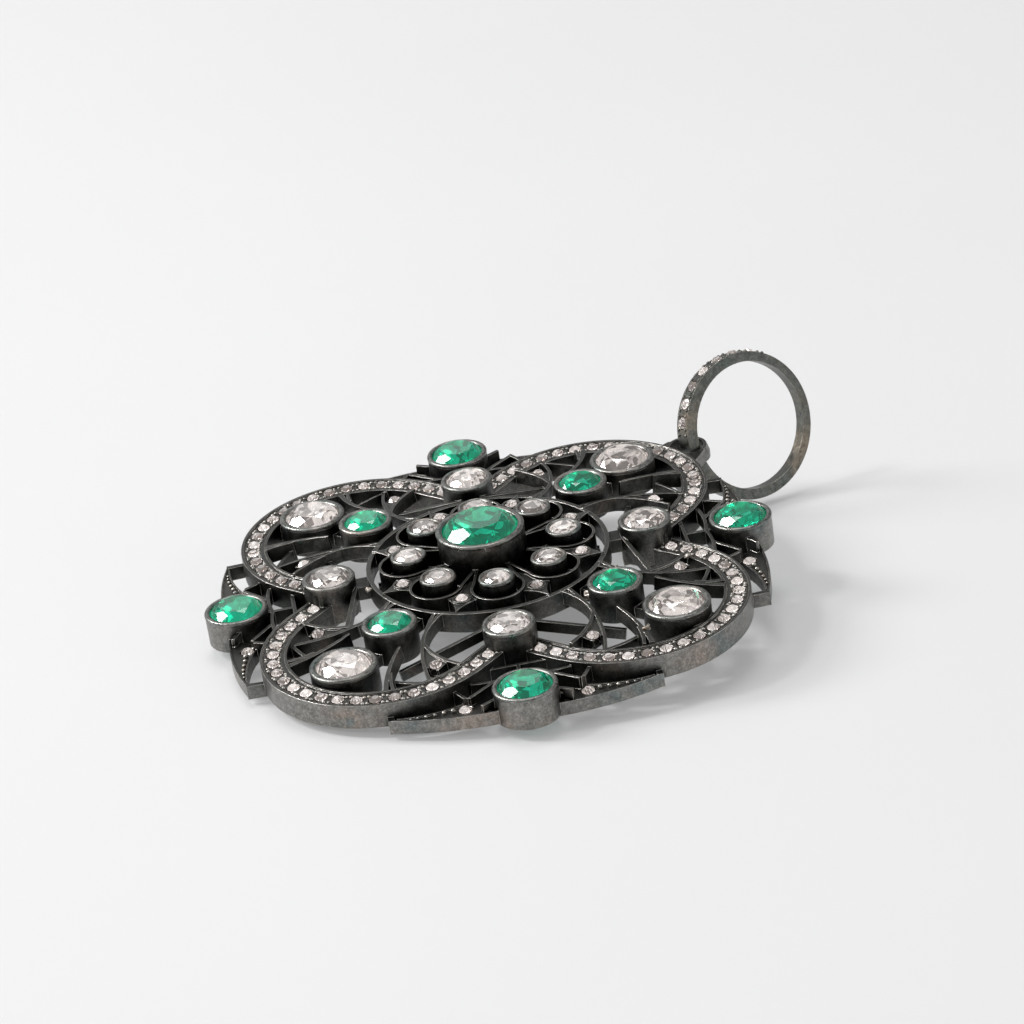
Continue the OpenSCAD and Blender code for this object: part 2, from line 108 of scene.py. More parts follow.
class ShaderBoard:
    """A node tree with short calls to add and join its nodes."""

    def __init__(self, tree: bpy.types.NodeTree) -> None:
        """Keeps the tree and empties it."""
        self.tree = tree
        tree.nodes.clear()

    def node(self, kind: str, **settings: object) -> bpy.types.Node:
        """Adds a node.

        Args:
            kind: the node's Blender type name.
            settings: properties of the node to set.

        Returns:
            The new node.
        """
        made = self.tree.nodes.new(kind)
        for name, value in settings.items():
            setattr(made, name, value)
        return made

    def join(self, source: bpy.types.NodeSocket, target: bpy.types.NodeSocket) -> None:
        """Links two sockets."""
        self.tree.links.new(source, target)

    def put(self, socket: bpy.types.NodeSocket, value: object) -> None:
        """Sets a socket to a plain value, or links another socket to it."""
        if isinstance(value, bpy.types.NodeSocket):
            self.join(value, socket)
        else:
            socket.default_value = value

    def math(self, operation: str, first: object, second: object = 0.0) -> bpy.types.NodeSocket:
        """Adds a Math node and returns its result."""
        made = self.node("ShaderNodeMath", operation=operation)
        self.put(made.inputs[0], first)
        self.put(made.inputs[1], second)
        return made.outputs[0]

    def span(self, value: object, low: object, high: float, to_low: float = 0.0,
             to_high: float = 1.0) -> bpy.types.NodeSocket:
        """Maps a value's range low..high to to_low..to_high, clamped, and returns it."""
        made = self.node("ShaderNodeMapRange", clamp=True, interpolation_type="SMOOTHSTEP")
        for place, number in enumerate((value, low, high, to_low, to_high)):
            self.put(made.inputs[place], number)
        return made.outputs[0]

    def mix(self, factor: object, first: object, second: object,
            blend: str = "MIX") -> bpy.types.NodeSocket:
        """Mixes two colours and returns the result."""
        made = self.node("ShaderNodeMix", data_type="RGBA", blend_type=blend)
        self.put(made.inputs["Factor"], factor)
        self.put(made.inputs[MIX_FIRST], first)
        self.put(made.inputs[MIX_SECOND], second)
        return made.outputs[MIX_RESULT]

    def noise(self, coordinates: bpy.types.NodeSocket, scale: float, detail: float = 3.0,
              roughness: float = 0.55) -> bpy.types.NodeSocket:
        """Adds a noise texture and returns its value."""
        made = self.node("ShaderNodeTexNoise")
        self.join(coordinates, made.inputs["Vector"])
        made.inputs["Scale"].default_value = scale
        made.inputs["Detail"].default_value = detail
        made.inputs["Roughness"].default_value = roughness
        return made.outputs["Fac"]

    def group(self, tree: bpy.types.NodeTree, **values: object) -> bpy.types.Node:
        """Places a shader group and sets its inputs by name."""
        made = self.node("ShaderNodeGroup", node_tree=tree)
        for name, value in values.items():
            self.put(made.inputs[name.replace("_", " ")], value)
        return made


def shader_group(name: str, inputs: dict[str, tuple[Shade, object]],
                 outputs: dict[str, Shade]) -> tuple[ShaderBoard, bpy.types.Node, bpy.types.Node]:
    """Starts a shader node group with named sockets.

    Args:
        name: the group's name.
        inputs: each input's kind and default value.
        outputs: each output's kind.

    Returns:
        The group's board, its input node and its output node.
    """
    tree = bpy.data.node_groups.new(name, "ShaderNodeTree")
    for title, (kind, value) in inputs.items():
        socket = tree.interface.new_socket(name=title, in_out="INPUT", socket_type=kind.value)
        socket.default_value = value
    for title, kind in outputs.items():
        tree.interface.new_socket(name=title, in_out="OUTPUT", socket_type=kind.value)
    board = ShaderBoard(tree)
    return board, board.node("NodeGroupInput"), board.node("NodeGroupOutput")


def new_material(name: str) -> tuple[bpy.types.Material, ShaderBoard, bpy.types.Node]:
    """Starts a material with an empty node tree.

    Args:
        name: the material's name.

    Returns:
        The material, the board of its nodes and its output node.
    """
    made = bpy.data.materials.new(name)
    made.use_nodes = True
    board = ShaderBoard(made.node_tree)
    return made, board, board.node("ShaderNodeOutputMaterial")


class Effects:
    """The shader groups that the finishes share."""

    def __init__(self) -> None:
        """Builds each group once."""
        self.edges = self._edge_wear()
        self.hollows = self._hollows()
        self.tarnish = self._tarnish()
        self.hammer = self._hammer()
        self.facing = self._facing()

    @staticmethod
    def _edge_wear() -> bpy.types.NodeTree:
        """Where an edge is rubbed bright, and the normal of its rounded arris."""
        board, given, out = shader_group(
            "edge_wear",
            {"Radius": (Shade.VALUE, 0.06 * MM), "Amount": (Shade.VALUE, 1.0)},
            {"Wear": Shade.VALUE, "Normal": Shade.VECTOR},
        )
        rounded = board.node("ShaderNodeBevel", samples=4)
        board.join(given.outputs["Radius"], rounded.inputs["Radius"])
        flat = board.node("ShaderNodeNewGeometry")
        turned = board.node("ShaderNodeVectorMath", operation="DOT_PRODUCT")
        board.join(rounded.outputs[0], turned.inputs[0])
        board.join(flat.outputs["True Normal"], turned.inputs[1])
        edge = board.span(turned.outputs["Value"], 0.995, 0.87)
        place = board.node("ShaderNodeTexCoord")
        cloud = board.noise(place.outputs["Object"], WEAR_NOISE, 4.0)
        patchy = board.math("MULTIPLY", edge, board.span(cloud, 0.36, 0.6, 0.35))
        wear = board.math("MULTIPLY", patchy, given.outputs["Amount"])
        board.join(wear, out.inputs["Wear"])
        board.join(rounded.outputs[0], out.inputs["Normal"])
        return board.tree

    @staticmethod
    def _hollows() -> bpy.types.NodeTree:
        """How open a place is, from 0 in a hollow to 1 in the open: the mask of the patina and painted
        shade in hollows.
        """
        board, given, out = shader_group(
            "hollows", {"Reach": (Shade.VALUE, 3.2 * MM)}, {"Open": Shade.VALUE}
        )
        blocked = board.node("ShaderNodeAmbientOcclusion", samples=6, only_local=True)
        board.join(given.outputs["Reach"], blocked.inputs["Distance"])
        board.join(board.span(blocked.outputs["AO"], 0.44, 0.98), out.inputs["Open"])
        return board.tree

    @staticmethod
    def _tarnish() -> bpy.types.NodeTree:
        """Soft patches of brown and green over the blackening."""
        board, given, out = shader_group(
            "tarnish",
            {
                "Base": (Shade.COLOUR, (0.03, 0.03, 0.03, 1)),
                "Brown": (Shade.COLOUR, (0.06, 0.04, 0.03, 1)),
                "Green": (Shade.COLOUR, (0.02, 0.04, 0.03, 1)),
            },
            {"Colour": Shade.COLOUR, "Cloud": Shade.VALUE},
        )
        place = board.node("ShaderNodeTexCoord")
        wide = board.noise(place.outputs["Object"], BROWN_NOISE, 4.0)
        fine = board.noise(place.outputs["Object"], MOTTLE_NOISE, 5.0, 0.65)
        shifted = board.node("ShaderNodeVectorMath", operation="ADD")
        board.join(place.outputs["Object"], shifted.inputs[0])
        shifted.inputs[1].default_value = (0.3, 0.1, 0.7)
        other = board.noise(shifted.outputs[0], GREEN_NOISE, 3.0)
        colour = board.mix(
            board.span(wide, 0.5, 0.72), given.outputs["Base"], given.outputs["Brown"]
        )
        colour = board.mix(board.span(other, 0.52, 0.7), colour, given.outputs["Green"])
        speck = board.noise(place.outputs["Object"], SPECK_NOISE, 3.0, 0.7)
        grey = board.math("MULTIPLY", board.span(fine, 0.3, 0.7, 0.72, 1.3),
                          board.span(speck, 0.38, 0.72, 0.84, 1.4))
        shade = board.node("ShaderNodeCombineColor")
        for channel in range(3):
            board.join(grey, shade.inputs[channel])
        board.join(board.mix(1.0, colour, shade.outputs[0], "MULTIPLY"), out.inputs["Colour"])
        board.join(fine, out.inputs["Cloud"])
        return board.tree

    @staticmethod
    def _hammer() -> bpy.types.NodeTree:
        """The height of file marks, pits and the slight waviness of hand-made walls."""
        board, given, out = shader_group(
            "hand_work", {"Pits": (Shade.VALUE, 1.0)}, {"Height": Shade.VALUE}
        )
        place = board.node("ShaderNodeTexCoord")
        waves = board.noise(place.outputs["Object"], WAVE_NOISE, 2.0)
        grit = board.noise(place.outputs["Object"], GRIT_NOISE, 4.0, 0.7)
        pits = board.math("MULTIPLY", board.span(grit, 0.25, 0.75), given.outputs["Pits"])
        height = board.math("ADD", board.math("MULTIPLY", waves, 1.4), pits)
        board.join(height, out.inputs["Height"])
        return board.tree

    @staticmethod
    def _facing() -> bpy.types.NodeTree:
        """How far a face looks up, from 0 for a wall to 1 for a level face; it masks the painted shade
        on tops.
        """
        board, given, out = shader_group(
            "facing", {"Steep": (Shade.VALUE, 0.55)}, {"Up": Shade.VALUE}
        )
        flat = board.node("ShaderNodeNewGeometry")
        parts = board.node("ShaderNodeSeparateXYZ")
        board.join(flat.outputs["True Normal"], parts.inputs[0])
        board.join(board.span(parts.outputs["Z"], given.outputs["Steep"], 0.95), out.inputs["Up"])
        return board.tree


# Finishes


@dataclass(frozen=True)
class BlackenedMetal:
    """Silver blackened in its hollows, with painted shade added there and on its tops, and rubbed
    brighter along its edges.
    """

    name: str
    base: Colour = (0.222, 0.217, 0.205, 1)
    brown: Colour = (0.285, 0.245, 0.215, 1)
    green: Colour = (0.165, 0.186, 0.182, 1)
    # Colour of the hollows: blackening patina together with painted shade
    hollow_patina_and_shade: Colour = (0.018, 0.020, 0.017, 1)
    # Faces that look up get this darker colour: a painted dark reflection
    painted_top_shade: Colour = (0.060, 0.060, 0.056, 1)
    painted_top_shade_share: float = 0.85
    worn: Colour = (0.85, 0.81, 0.76, 1)
    wear: float = 0.95
    edge_mm: float = 0.075
    rough: float = 0.36
    rough_worn: float = 0.3
    pits: float = 1.0
    relief_mm: float = 0.012

    def material(self, effects: Effects) -> bpy.types.Material:
        """Builds the finish.

        Args:
            effects: the shared shader groups.

        Returns:
            The material.
        """
        made, board, out = new_material(self.name)
        body = board.node("ShaderNodeBsdfPrincipled")
        board.join(body.outputs[0], out.inputs[0])
        edges = board.group(effects.edges, Radius=self.edge_mm * MM, Amount=self.wear)
        hollows = board.group(effects.hollows)
        tarnish = board.group(effects.tarnish, Base=self.base, Brown=self.brown, Green=self.green)
        work = board.group(effects.hammer, Pits=self.pits)
        facing = board.group(effects.facing)
        # Painted shade: faces that look up are darkened, standing in for the dark reflection they show
        up = board.math("MULTIPLY", facing.outputs["Up"], self.painted_top_shade_share)
        skin = board.mix(up, tarnish.outputs["Colour"], self.painted_top_shade)
        # Hollows turn to the patina colour, which also carries painted shade
        skin = board.mix(hollows.outputs["Open"], self.hollow_patina_and_shade, skin)
        colour = board.mix(edges.outputs["Wear"], skin, self.worn)
        board.join(colour, body.inputs["Base Color"])
        body.inputs["Metallic"].default_value = 1.0
        rough = board.span(
            tarnish.outputs["Cloud"], 0.3, 0.7, self.rough - 0.07, self.rough + 0.12
        )
        blend = board.node("ShaderNodeMix", data_type="FLOAT")
        board.join(edges.outputs["Wear"], blend.inputs[0])
        board.join(rough, blend.inputs[2])
        blend.inputs[3].default_value = self.rough_worn
        board.join(blend.outputs[0], body.inputs["Roughness"])
        bump = board.node("ShaderNodeBump")
        bump.inputs["Strength"].default_value = 0.55
        bump.inputs["Distance"].default_value = self.relief_mm * MM
        board.join(work.outputs["Height"], bump.inputs["Height"])
        board.join(edges.outputs["Normal"], bump.inputs["Normal"])
        board.join(bump.outputs[0], body.inputs["Normal"])
        return made


@dataclass(frozen=True)
class CutStone:
    """A clear faceted stone that is faintly cloudy and throws light back from its lower facets, which
    carry painted dark and bright patches and a painted glow.
    """

    name: str
    colour: Colour
    cloudy: Colour
    # Colour of the painted dark patches on the inner mirror
    painted_dark_facets: Colour
    ior: float
    rough: float
    clear: float
    # Strength of the painted glow that the inner mirror gives off
    painted_glow: float
    patch_mm: float

    def material(self) -> bpy.types.Material:
        """Builds the finish and returns the material."""
        made, board, out = new_material(self.name)
        body = board.node("ShaderNodeBsdfPrincipled")
        place = board.node("ShaderNodeTexCoord")
        cloud = board.noise(place.outputs["Object"], STONE_CLOUD_NOISE, 5.0, 0.65)
        seen = board.mix(board.span(cloud, 0.36, 0.66), self.colour, self.cloudy)
        # Light scattered from the table sees a grey stone, so that no colour falls on the table
        ray = board.node("ShaderNodeLightPath")
        board.join(board.mix(ray.outputs["Is Diffuse Ray"], seen, (0.03, 0.03, 0.03, 1)),
                   body.inputs["Base Color"])
        body.inputs["Metallic"].default_value = 0.0
        body.inputs["Roughness"].default_value = self.rough
        body.inputs["IOR"].default_value = self.ior
        body.inputs["Transmission Weight"].default_value = self.clear
        # Seen from inside, the facets that face down are mirrors, with painted dark and bright patches
        mirror = board.node("ShaderNodeBsdfPrincipled")
        crinkle = board.noise(place.outputs["Object"], CRINKLE_NOISE, 4.0, 0.6)
        # Painted reflection: cells of the inner mirror are painted dark or bright, like facets that
        # mirror dark or bright surroundings
        patches = board.node("ShaderNodeTexVoronoi")
        board.join(place.outputs["Object"], patches.inputs["Vector"])
        patches.inputs["Scale"].default_value = 1.0 / (self.patch_mm * MM)
        tone = board.node("ShaderNodeSeparateColor")
        board.join(patches.outputs["Color"], tone.inputs[0])
        painted_facet_light = board.mix(board.span(tone.outputs[0], 0.25, 0.6), self.painted_dark_facets, seen)
        board.join(painted_facet_light, mirror.inputs["Base Color"])
        board.join(board.span(crinkle, 0.3, 0.7, 0.22, 0.1), mirror.inputs["Roughness"])
        mirror.inputs["Metallic"].default_value = 1.0
        # Painted glow: the inner mirror gives off light in its patch colour
        board.join(painted_facet_light, mirror.inputs["Emission Color"])
        mirror.inputs["Emission Strength"].default_value = self.painted_glow
        side = board.node("ShaderNodeNewGeometry")
        parts = board.node("ShaderNodeSeparateXYZ")
        board.join(side.outputs["True Normal"], parts.inputs[0])
        inside = board.math("MULTIPLY", board.math("GREATER_THAN", parts.outputs["Z"], 0.0),
                            side.outputs["Backfacing"])
        blend = board.node("ShaderNodeMixShader")
        board.join(inside, blend.inputs[0])
        board.join(body.outputs[0], blend.inputs[1])
        board.join(mirror.outputs[0], blend.inputs[2])
        board.join(blend.outputs[0], out.inputs[0])
        return made


@dataclass(frozen=True)
class TableTop:
    """A smooth pale sheet, lit a little from below, or the clear pane that covers it."""

    name: str
    alpha: float
    rough: float
    glow: float
    colour: Colour = (0.575, 0.575, 0.578, 1)
    lighter_by: float = 1.012

    def material(self) -> bpy.types.Material:
        """Builds the finish and returns the material."""
        made, board, out = new_material(self.name)
        body = board.node("ShaderNodeBsdfPrincipled")
        board.join(body.outputs[0], out.inputs[0])
        place = board.node("ShaderNodeTexCoord")
        cloud = board.noise(place.outputs["Object"], PAPER_NOISE, 2.0)
        lighter = tuple(min(1.0, c * self.lighter_by) for c in self.colour[:3]) + (1.0,)
        board.join(board.mix(board.span(cloud, 0.3, 0.7), self.colour, lighter),
                   body.inputs["Base Color"])
        board.join(board.span(cloud, 0.2, 0.8, self.rough, self.rough + 0.08),
                   body.inputs["Roughness"])
        body.inputs["Specular IOR Level"].default_value = 0.35
        body.inputs["Alpha"].default_value = self.alpha
        body.inputs["Emission Color"].default_value = (1.0, 1.0, 1.0, 1)
        body.inputs["Emission Strength"].default_value = self.glow
        return made


@dataclass
class Finishes:
    """Every finish of the scene, built once."""

    effects: Effects = field(default_factory=Effects)
    frame: bpy.types.Material = field(init=False)
    lips: bpy.types.Material = field(init=False)
    bail: bpy.types.Material = field(init=False)
    grains: bpy.types.Material = field(init=False)
    solder: bpy.types.Material = field(init=False)
    emerald: bpy.types.Material = field(init=False)
    diamond: bpy.types.Material = field(init=False)
    small_diamond: bpy.types.Material = field(init=False)
    pane: bpy.types.Material = field(init=False)
    paper: bpy.types.Material = field(init=False)

    def __post_init__(self) -> None:
        """Builds the materials."""
        self.frame = BlackenedMetal("blackened_frame").material(self.effects)
        self.bail = BlackenedMetal(
            "blackened_bail", base=(0.125, 0.13, 0.12, 1), brown=(0.23, 0.195, 0.155, 1),
            green=(0.1, 0.12, 0.112, 1), worn=(0.6, 0.55, 0.48, 1), painted_top_shade_share=0.3, rough=0.34,
        ).material(self.effects)
        self.lips = BlackenedMetal(
            "rubbed_lips", base=(0.2, 0.2, 0.19, 1), brown=(0.3, 0.265, 0.235, 1),
            green=(0.14, 0.165, 0.155, 1), hollow_patina_and_shade=(0.05, 0.053, 0.048, 1), painted_top_shade_share=0.0,
            worn=(0.5, 0.485, 0.46, 1), rough=0.3,
        ).material(self.effects)
        self.grains = BlackenedMetal(
            "rubbed_grains", base=(0.38, 0.365, 0.335, 1), brown=(0.45, 0.39, 0.33, 1),
            hollow_patina_and_shade=(0.05, 0.05, 0.046, 1), painted_top_shade_share=0.0, rough=0.3, edge_mm=0.03,
        ).material(self.effects)
        self.solder = BlackenedMetal(
            "solder", base=(0.32, 0.29, 0.25, 1), brown=(0.42, 0.32, 0.2, 1), painted_top_shade_share=0.0,
            rough=0.42,
        ).material(self.effects)
        self.emerald = CutStone(
            "emerald", colour=(0.015, 0.68, 0.46, 1), cloudy=(0.09, 0.92, 0.72, 1),
            painted_dark_facets=(0.003, 0.26, 0.17, 1), ior=1.58, rough=0.0, clear=0.97, painted_glow=0.2, patch_mm=0.8,
        ).material()
        self.diamond = CutStone(
            "diamond", colour=(1.0, 0.965, 0.945, 1), cloudy=(0.97, 0.925, 0.9, 1),
            painted_dark_facets=(0.19, 0.165, 0.15, 1), ior=2.3, rough=0.0, clear=0.97, painted_glow=0.34, patch_mm=0.55,
        ).material()
        self.small_diamond = CutStone(
            "small_diamond", colour=(1.0, 0.965, 0.945, 1), cloudy=(0.96, 0.915, 0.89, 1),
            painted_dark_facets=(0.24, 0.2, 0.18, 1), ior=2.1, rough=0.01, clear=0.92, painted_glow=0.34, patch_mm=0.35,
        ).material()
        self.pane = TableTop("table_pane", alpha=0.15, rough=0.12, glow=0.0).material()
        self.paper = TableTop("table_paper", alpha=1.0, rough=0.6, glow=0.24).material()


# Pieces


def finish_piece(shape: bmesh.types.BMesh, name: str, material: bpy.types.Material) -> bpy.types.Object:
    """Turns a shape in the disc's layout into a piece of the pendant.

    Args:
        shape: the shape, in millimetres in the disc's own layout.
        name: the piece's name.
        material: its finish.

    Returns:
        The new object, which rides on the body.
    """
    bmesh.ops.recalc_face_normals(shape, faces=shape.faces[:])
    bmesh.ops.transform(shape, matrix=REST.matrix(), verts=shape.verts[:])
    for face in shape.faces:
        face.smooth = True
    mesh = bpy.data.meshes.new(name)
    shape.to_mesh(mesh)
    shape.free()
    mesh.materials.append(material)
    made = bpy.data.objects.new(name, mesh)
    bpy.context.scene.collection.objects.link(made)
    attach(made, "root")
    LOG.info("%s: %d faces", name, len(mesh.polygons))
    return made


@dataclass(frozen=True)
class Setting:
    """A ring of equal bezels round the middle of the disc, in millimetres."""

    away: float
    first_deg: float
    count: int
    stone_r: float
    rim_z: float
    outer_r: float

    def centres(self) -> Iterable[Vector]:
        """The middle of each bezel's rim."""
        for step in range(self.count):
            turn = math.radians(self.first_deg + 360 / self.count * step)
            yield Vector((self.away * math.cos(turn), self.away * math.sin(turn), self.rim_z))


@dataclass
class BezelLips:
    """The rounded, slightly uneven lips that are pressed over the stones, in millimetres."""

    finishes: Finishes
    centre: Setting = Setting(
        away=0.3, first_deg=202, count=1, stone_r=3.05, rim_z=2.65, outer_r=3.42
    )
    outer: Setting = Setting(
        away=19.88, first_deg=-45, count=4, stone_r=2.15, rim_z=-0.45, outer_r=2.43
    )
    inner: Setting = Setting(
        away=12.24, first_deg=-90, count=4, stone_r=1.75, rim_z=0.63, outer_r=2.1
    )
    large: Setting = Setting(
        away=17.88, first_deg=-90, count=4, stone_r=2.2, rim_z=0.0, outer_r=2.58
    )
    medium: Setting = Setting(
        away=12.43, first_deg=-45, count=4, stone_r=1.7, rim_z=0.78, outer_r=2.03
    )
    rosette: Setting = Setting(
        away=6.08, first_deg=-90, count=8, stone_r=1.175, rim_z=1.4, outer_r=1.38
    )
    around: int = 56
    over_stone: float = 0.1
    past_wall: float = 0.035
    wobble: float = 0.022
    weld: float = 0.0005

    def _lip(self, shape: bmesh.types.BMesh, middle: Vector, setting: Setting) -> None:
        """Adds one lip: a rounded profile spun round the stone, then made a little uneven."""
        inside = setting.stone_r - self.over_stone
        outside = setting.outer_r + self.past_wall
        width = outside - inside
        profile = [
            (inside, -0.09), (inside + 0.02, -0.01), (inside + width * 0.3, 0.05),
            (inside + width * 0.6, 0.06), (outside - 0.06, 0.01), (outside, -0.09),
            (outside - 0.01, -0.22), (outside - 0.06, -0.34), (outside - 0.14, -0.36),
        ]
        ring = [shape.verts.new(middle + Vector((r, 0, z))) for r, z in profile]
        edges = [shape.edges.new(pair) for pair in zip(ring, ring[1:] + ring[:1])]
        bmesh.ops.spin(
            shape, geom=ring + edges, cent=middle, axis=(0, 0, 1), angle=math.tau,
            steps=self.around, use_merge=True,
        )

    def build(self) -> None:
        """Builds all the lips as one piece."""
        shape = bmesh.new()
        settings = (self.centre, self.outer, self.inner, self.large, self.medium, self.rosette)
        for setting in settings:
            for middle in setting.centres():
                self._lip(shape, middle, setting)
        bmesh.ops.remove_doubles(shape, verts=shape.verts[:], dist=self.weld)
        for vertex in shape.verts:
            drift = noise.noise_vector(vertex.co * 0.9) * self.wobble
            fine = noise.noise_vector(vertex.co * 3.1 + Vector((7, 3, 1))) * self.wobble * 0.4
            vertex.co += drift + fine
        finish_piece(shape, "bezel_lips", self.finishes.lips)


@dataclass
class BandGrains:
    """The bead grains on both sides of each band's row of small stones, in millimetres."""

    finishes: Finishes
    lobe_centre: float = 13.1
    stone_line_r: float = 8.525
    half_length_extra: float = 1.8
    stones: int = 22
    floor_z: float = -0.72
    beside: float = 0.48
    pair_gap: float = 0.34
    raised: float = 0.03
    grain_r: float = 0.16
    seed: int = 5

    def place(self, along: float, side: float) -> tuple[float, float]:
        """A point on the front lobe's band, along it from the lobe's end and beside its middle."""
        quarter = self.stone_line_r * math.pi / 2
        radius = self.stone_line_r + side
        if abs(along) <= quarter:
            turn = along / self.stone_line_r
            return radius * math.sin(turn), -self.lobe_centre - radius * math.cos(turn)
        return math.copysign(radius, along), -self.lobe_centre + abs(along) - quarter

    def build(self) -> None:
        """Builds the grains of the four bands as one piece."""
        dice = random.Random(self.seed)
        shape = bmesh.new()
        reach = self.stone_line_r * math.pi / 2 + self.half_length_extra
        pitch = 2 * reach / (self.stones - 1)
        for lobe, drop in enumerate(LOBE_DROPS):
            turn = Matrix.Rotation(math.radians(90 * lobe), 4, "Z")
            for step in range(self.stones + 1):
                along = -reach + (step - 0.5) * pitch
                for side in (-1, 1):
                    for lean in (-0.5, 0.5):
                        x, y = self.place(
                            along + lean * self.pair_gap + dice.uniform(-0.03, 0.03),
                            side * (self.beside + dice.uniform(-0.04, 0.06)),
                        )
                        size = self.grain_r * dice.uniform(0.75, 1.15)
                        at = turn @ Vector((x, y, self.floor_z - drop + self.raised))
                        squash = Matrix.Diagonal((1, 1, dice.uniform(0.7, 1.0), 1))
                        bmesh.ops.create_icosphere(
                            shape, subdivisions=1, radius=size,
                            matrix=Matrix.Translation(at) @ squash,
                        )
        finish_piece(shape, "band_grains", self.finishes.grains)


@dataclass
class WingGrains:
    """The graduated beads along each wing, which follow the wing's own reach, in millimetres.

    Each bead is its place on the front lobe's right wing and its radius.
    """

    finishes: Finishes
    level_z: float = -1.87
    reaches: tuple[float, ...] = (-0.15, 0.6, -0.15, 0.6)
    way: tuple[float, float] = (0.78, -0.63)
    root_y: float = -16.2
    length_y: float = 4.65
    beads: tuple[tuple[float, float, float], ...] = (
        (9.97, -17.68, 0.22), (9.5, -18.2, 0.19), (9.08, -18.72, 0.17), (8.62, -19.22, 0.15),
        (8.2, -19.63, 0.13), (7.8, -19.97, 0.11),
    )

    def build(self) -> None:
        """Builds the beads of the eight wings as one piece."""
        shape = bmesh.new()
        for lobe, drop in enumerate(LOBE_DROPS):
            turn = Matrix.Rotation(math.radians(90 * lobe), 4, "Z")
            for side in (-1, 1):
                reach = self.reaches[lobe] if side > 0 else self.reaches[lobe - 1]
                for x, y, radius in self.beads:
                    share = reach * (self.root_y - y) / self.length_y
                    x_out, y_out = x + share * self.way[0], y + share * self.way[1]
                    at = turn @ Vector((side * x_out, y_out, self.level_z - drop + radius * 0.45))
                    bmesh.ops.create_icosphere(
                        shape, subdivisions=2, radius=radius, matrix=Matrix.Translation(at)
                    )
        finish_piece(shape, "wing_grains", self.finishes.grains)


@dataclass
class BailGrains:
    """The bead grains between the bail's small stones, in millimetres and degrees."""

    finishes: Finishes
    centre: Point = (3.42318, 30.1449, -2.3)
    yaw_deg: float = 71
    lean_deg: float = 73
    stone_line_r: float = 6.08
    first_deg: float = 68
    step_deg: float = 15
    stones: int = 7
    beside: float = 0.5
    pair_deg: float = 2.2
    grain_r: float = 0.15

    def build(self) -> None:
        """Builds the grains of the bail as one piece."""
        frame = (
            Matrix.Translation(self.centre)
            @ Matrix.Rotation(math.radians(self.yaw_deg), 4, "Z")
            @ Matrix.Rotation(math.radians(self.lean_deg), 4, "X")
        )
        shape = bmesh.new()
        for step in range(self.stones + 1):
            for side in (-1, 1):
                for lean in (-self.pair_deg, self.pair_deg):
                    turn = math.radians(self.first_deg + (step - 0.5) * self.step_deg + lean)
                    at = frame @ Vector((
                        self.stone_line_r * math.cos(turn), self.stone_line_r * math.sin(turn),
                        side * self.beside,
                    ))
                    bmesh.ops.create_icosphere(
                        shape, subdivisions=2, radius=self.grain_r, matrix=Matrix.Translation(at)
                    )
        finish_piece(shape, "bail_grains", self.finishes.bail)


@dataclass
class SolderLumps:
    """Small lumps of solder where strips meet the settings: places and radii in millimetres."""

    finishes: Finishes
    lumps: tuple[tuple[float, float, float, float], ...] = (
        (11.2, 1.75, 0.66, 0.15), (12.32, 15.72, -0.36, 0.19), (17.5, -3.45, -0.5, 0.3),
        (10.55, -1.3, -0.42, 0.36), (-5.6, -7.95, 0.0, 0.32), (13.8, 7.15, -0.62, 0.3),
        (12.4, -15.85, -1.75, 0.28), (16.05, -12.4, -1.55, 0.16),
    )

    def build(self) -> None:
        """Builds the lumps as one piece."""
        shape = bmesh.new()
        for x, y, z, radius in self.lumps:
            made = bmesh.ops.create_icosphere(
                shape, subdivisions=3, radius=radius, matrix=Matrix.Translation((x, y, z))
            )
            for vertex in made["verts"]:
                vertex.co.z = z + (vertex.co.z - z) * 0.55
                vertex.co += noise.noise_vector(vertex.co * 3.0) * radius * 0.7
        finish_piece(shape, "solder_lumps", self.finishes.solder)


@dataclass
class PackedParts:
    """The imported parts, which keep their shapes and get their finishes."""

    finishes: Finishes
    nodes: dict[str, bpy.types.Object]

    def _dress(self, test: Callable[[str], bool], material: bpy.types.Material) -> None:
        """Gives a finish to each node whose name passes the test."""
        for name, node in self.nodes.items():
            if test(name):
                node.data.materials.clear()
                node.data.materials.append(material)
                for face in node.data.polygons:
                    face.material_index = 0
                LOG.info("%s: %s", name, material.name)

    def build(self) -> None:
        """Dresses every node."""
        self._dress(lambda name: name == "openwork_frame", self.finishes.frame)
        self._dress(lambda name: name == "bail_ring", self.finishes.bail)
        self._dress(lambda name: "emerald" in name, self.finishes.emerald)
        self._dress(lambda name: name.startswith(("large_", "medium_", "rosette_")),
                    self.finishes.diamond)
        self._dress(lambda name: name.endswith("_diamonds") or name.startswith("band_"),
                    self.finishes.small_diamond)


# Table, light and camera


@dataclass
class Table:
    """The table that the pendant lies on: a clear pane over a sheet of pale paper."""

    finishes: Finishes
    half: float = 2.0
    pane_mm: float = 0.5

    def _sheet(self, name: str, level: float, material: bpy.types.Material) -> None:
        """Builds one flat sheet at a level."""
        shape = bmesh.new()
        bmesh.ops.create_grid(shape, x_segments=4, y_segments=4, size=self.half,
                              matrix=Matrix.Translation((0, 0, level)))
        mesh = bpy.data.meshes.new(name)
        shape.to_mesh(mesh)
        shape.free()
        mesh.materials.append(material)
        made = bpy.data.objects.new(name, mesh)
        bpy.context.scene.collection.objects.link(made)
        LOG.info("%s: stage", name)

    def build(self) -> None:
        """Builds the table's two layers."""
        self._sheet("table_pane", 0.0, self.finishes.pane)
        self._sheet("table_paper", -self.pane_mm * MM, self.finishes.paper)


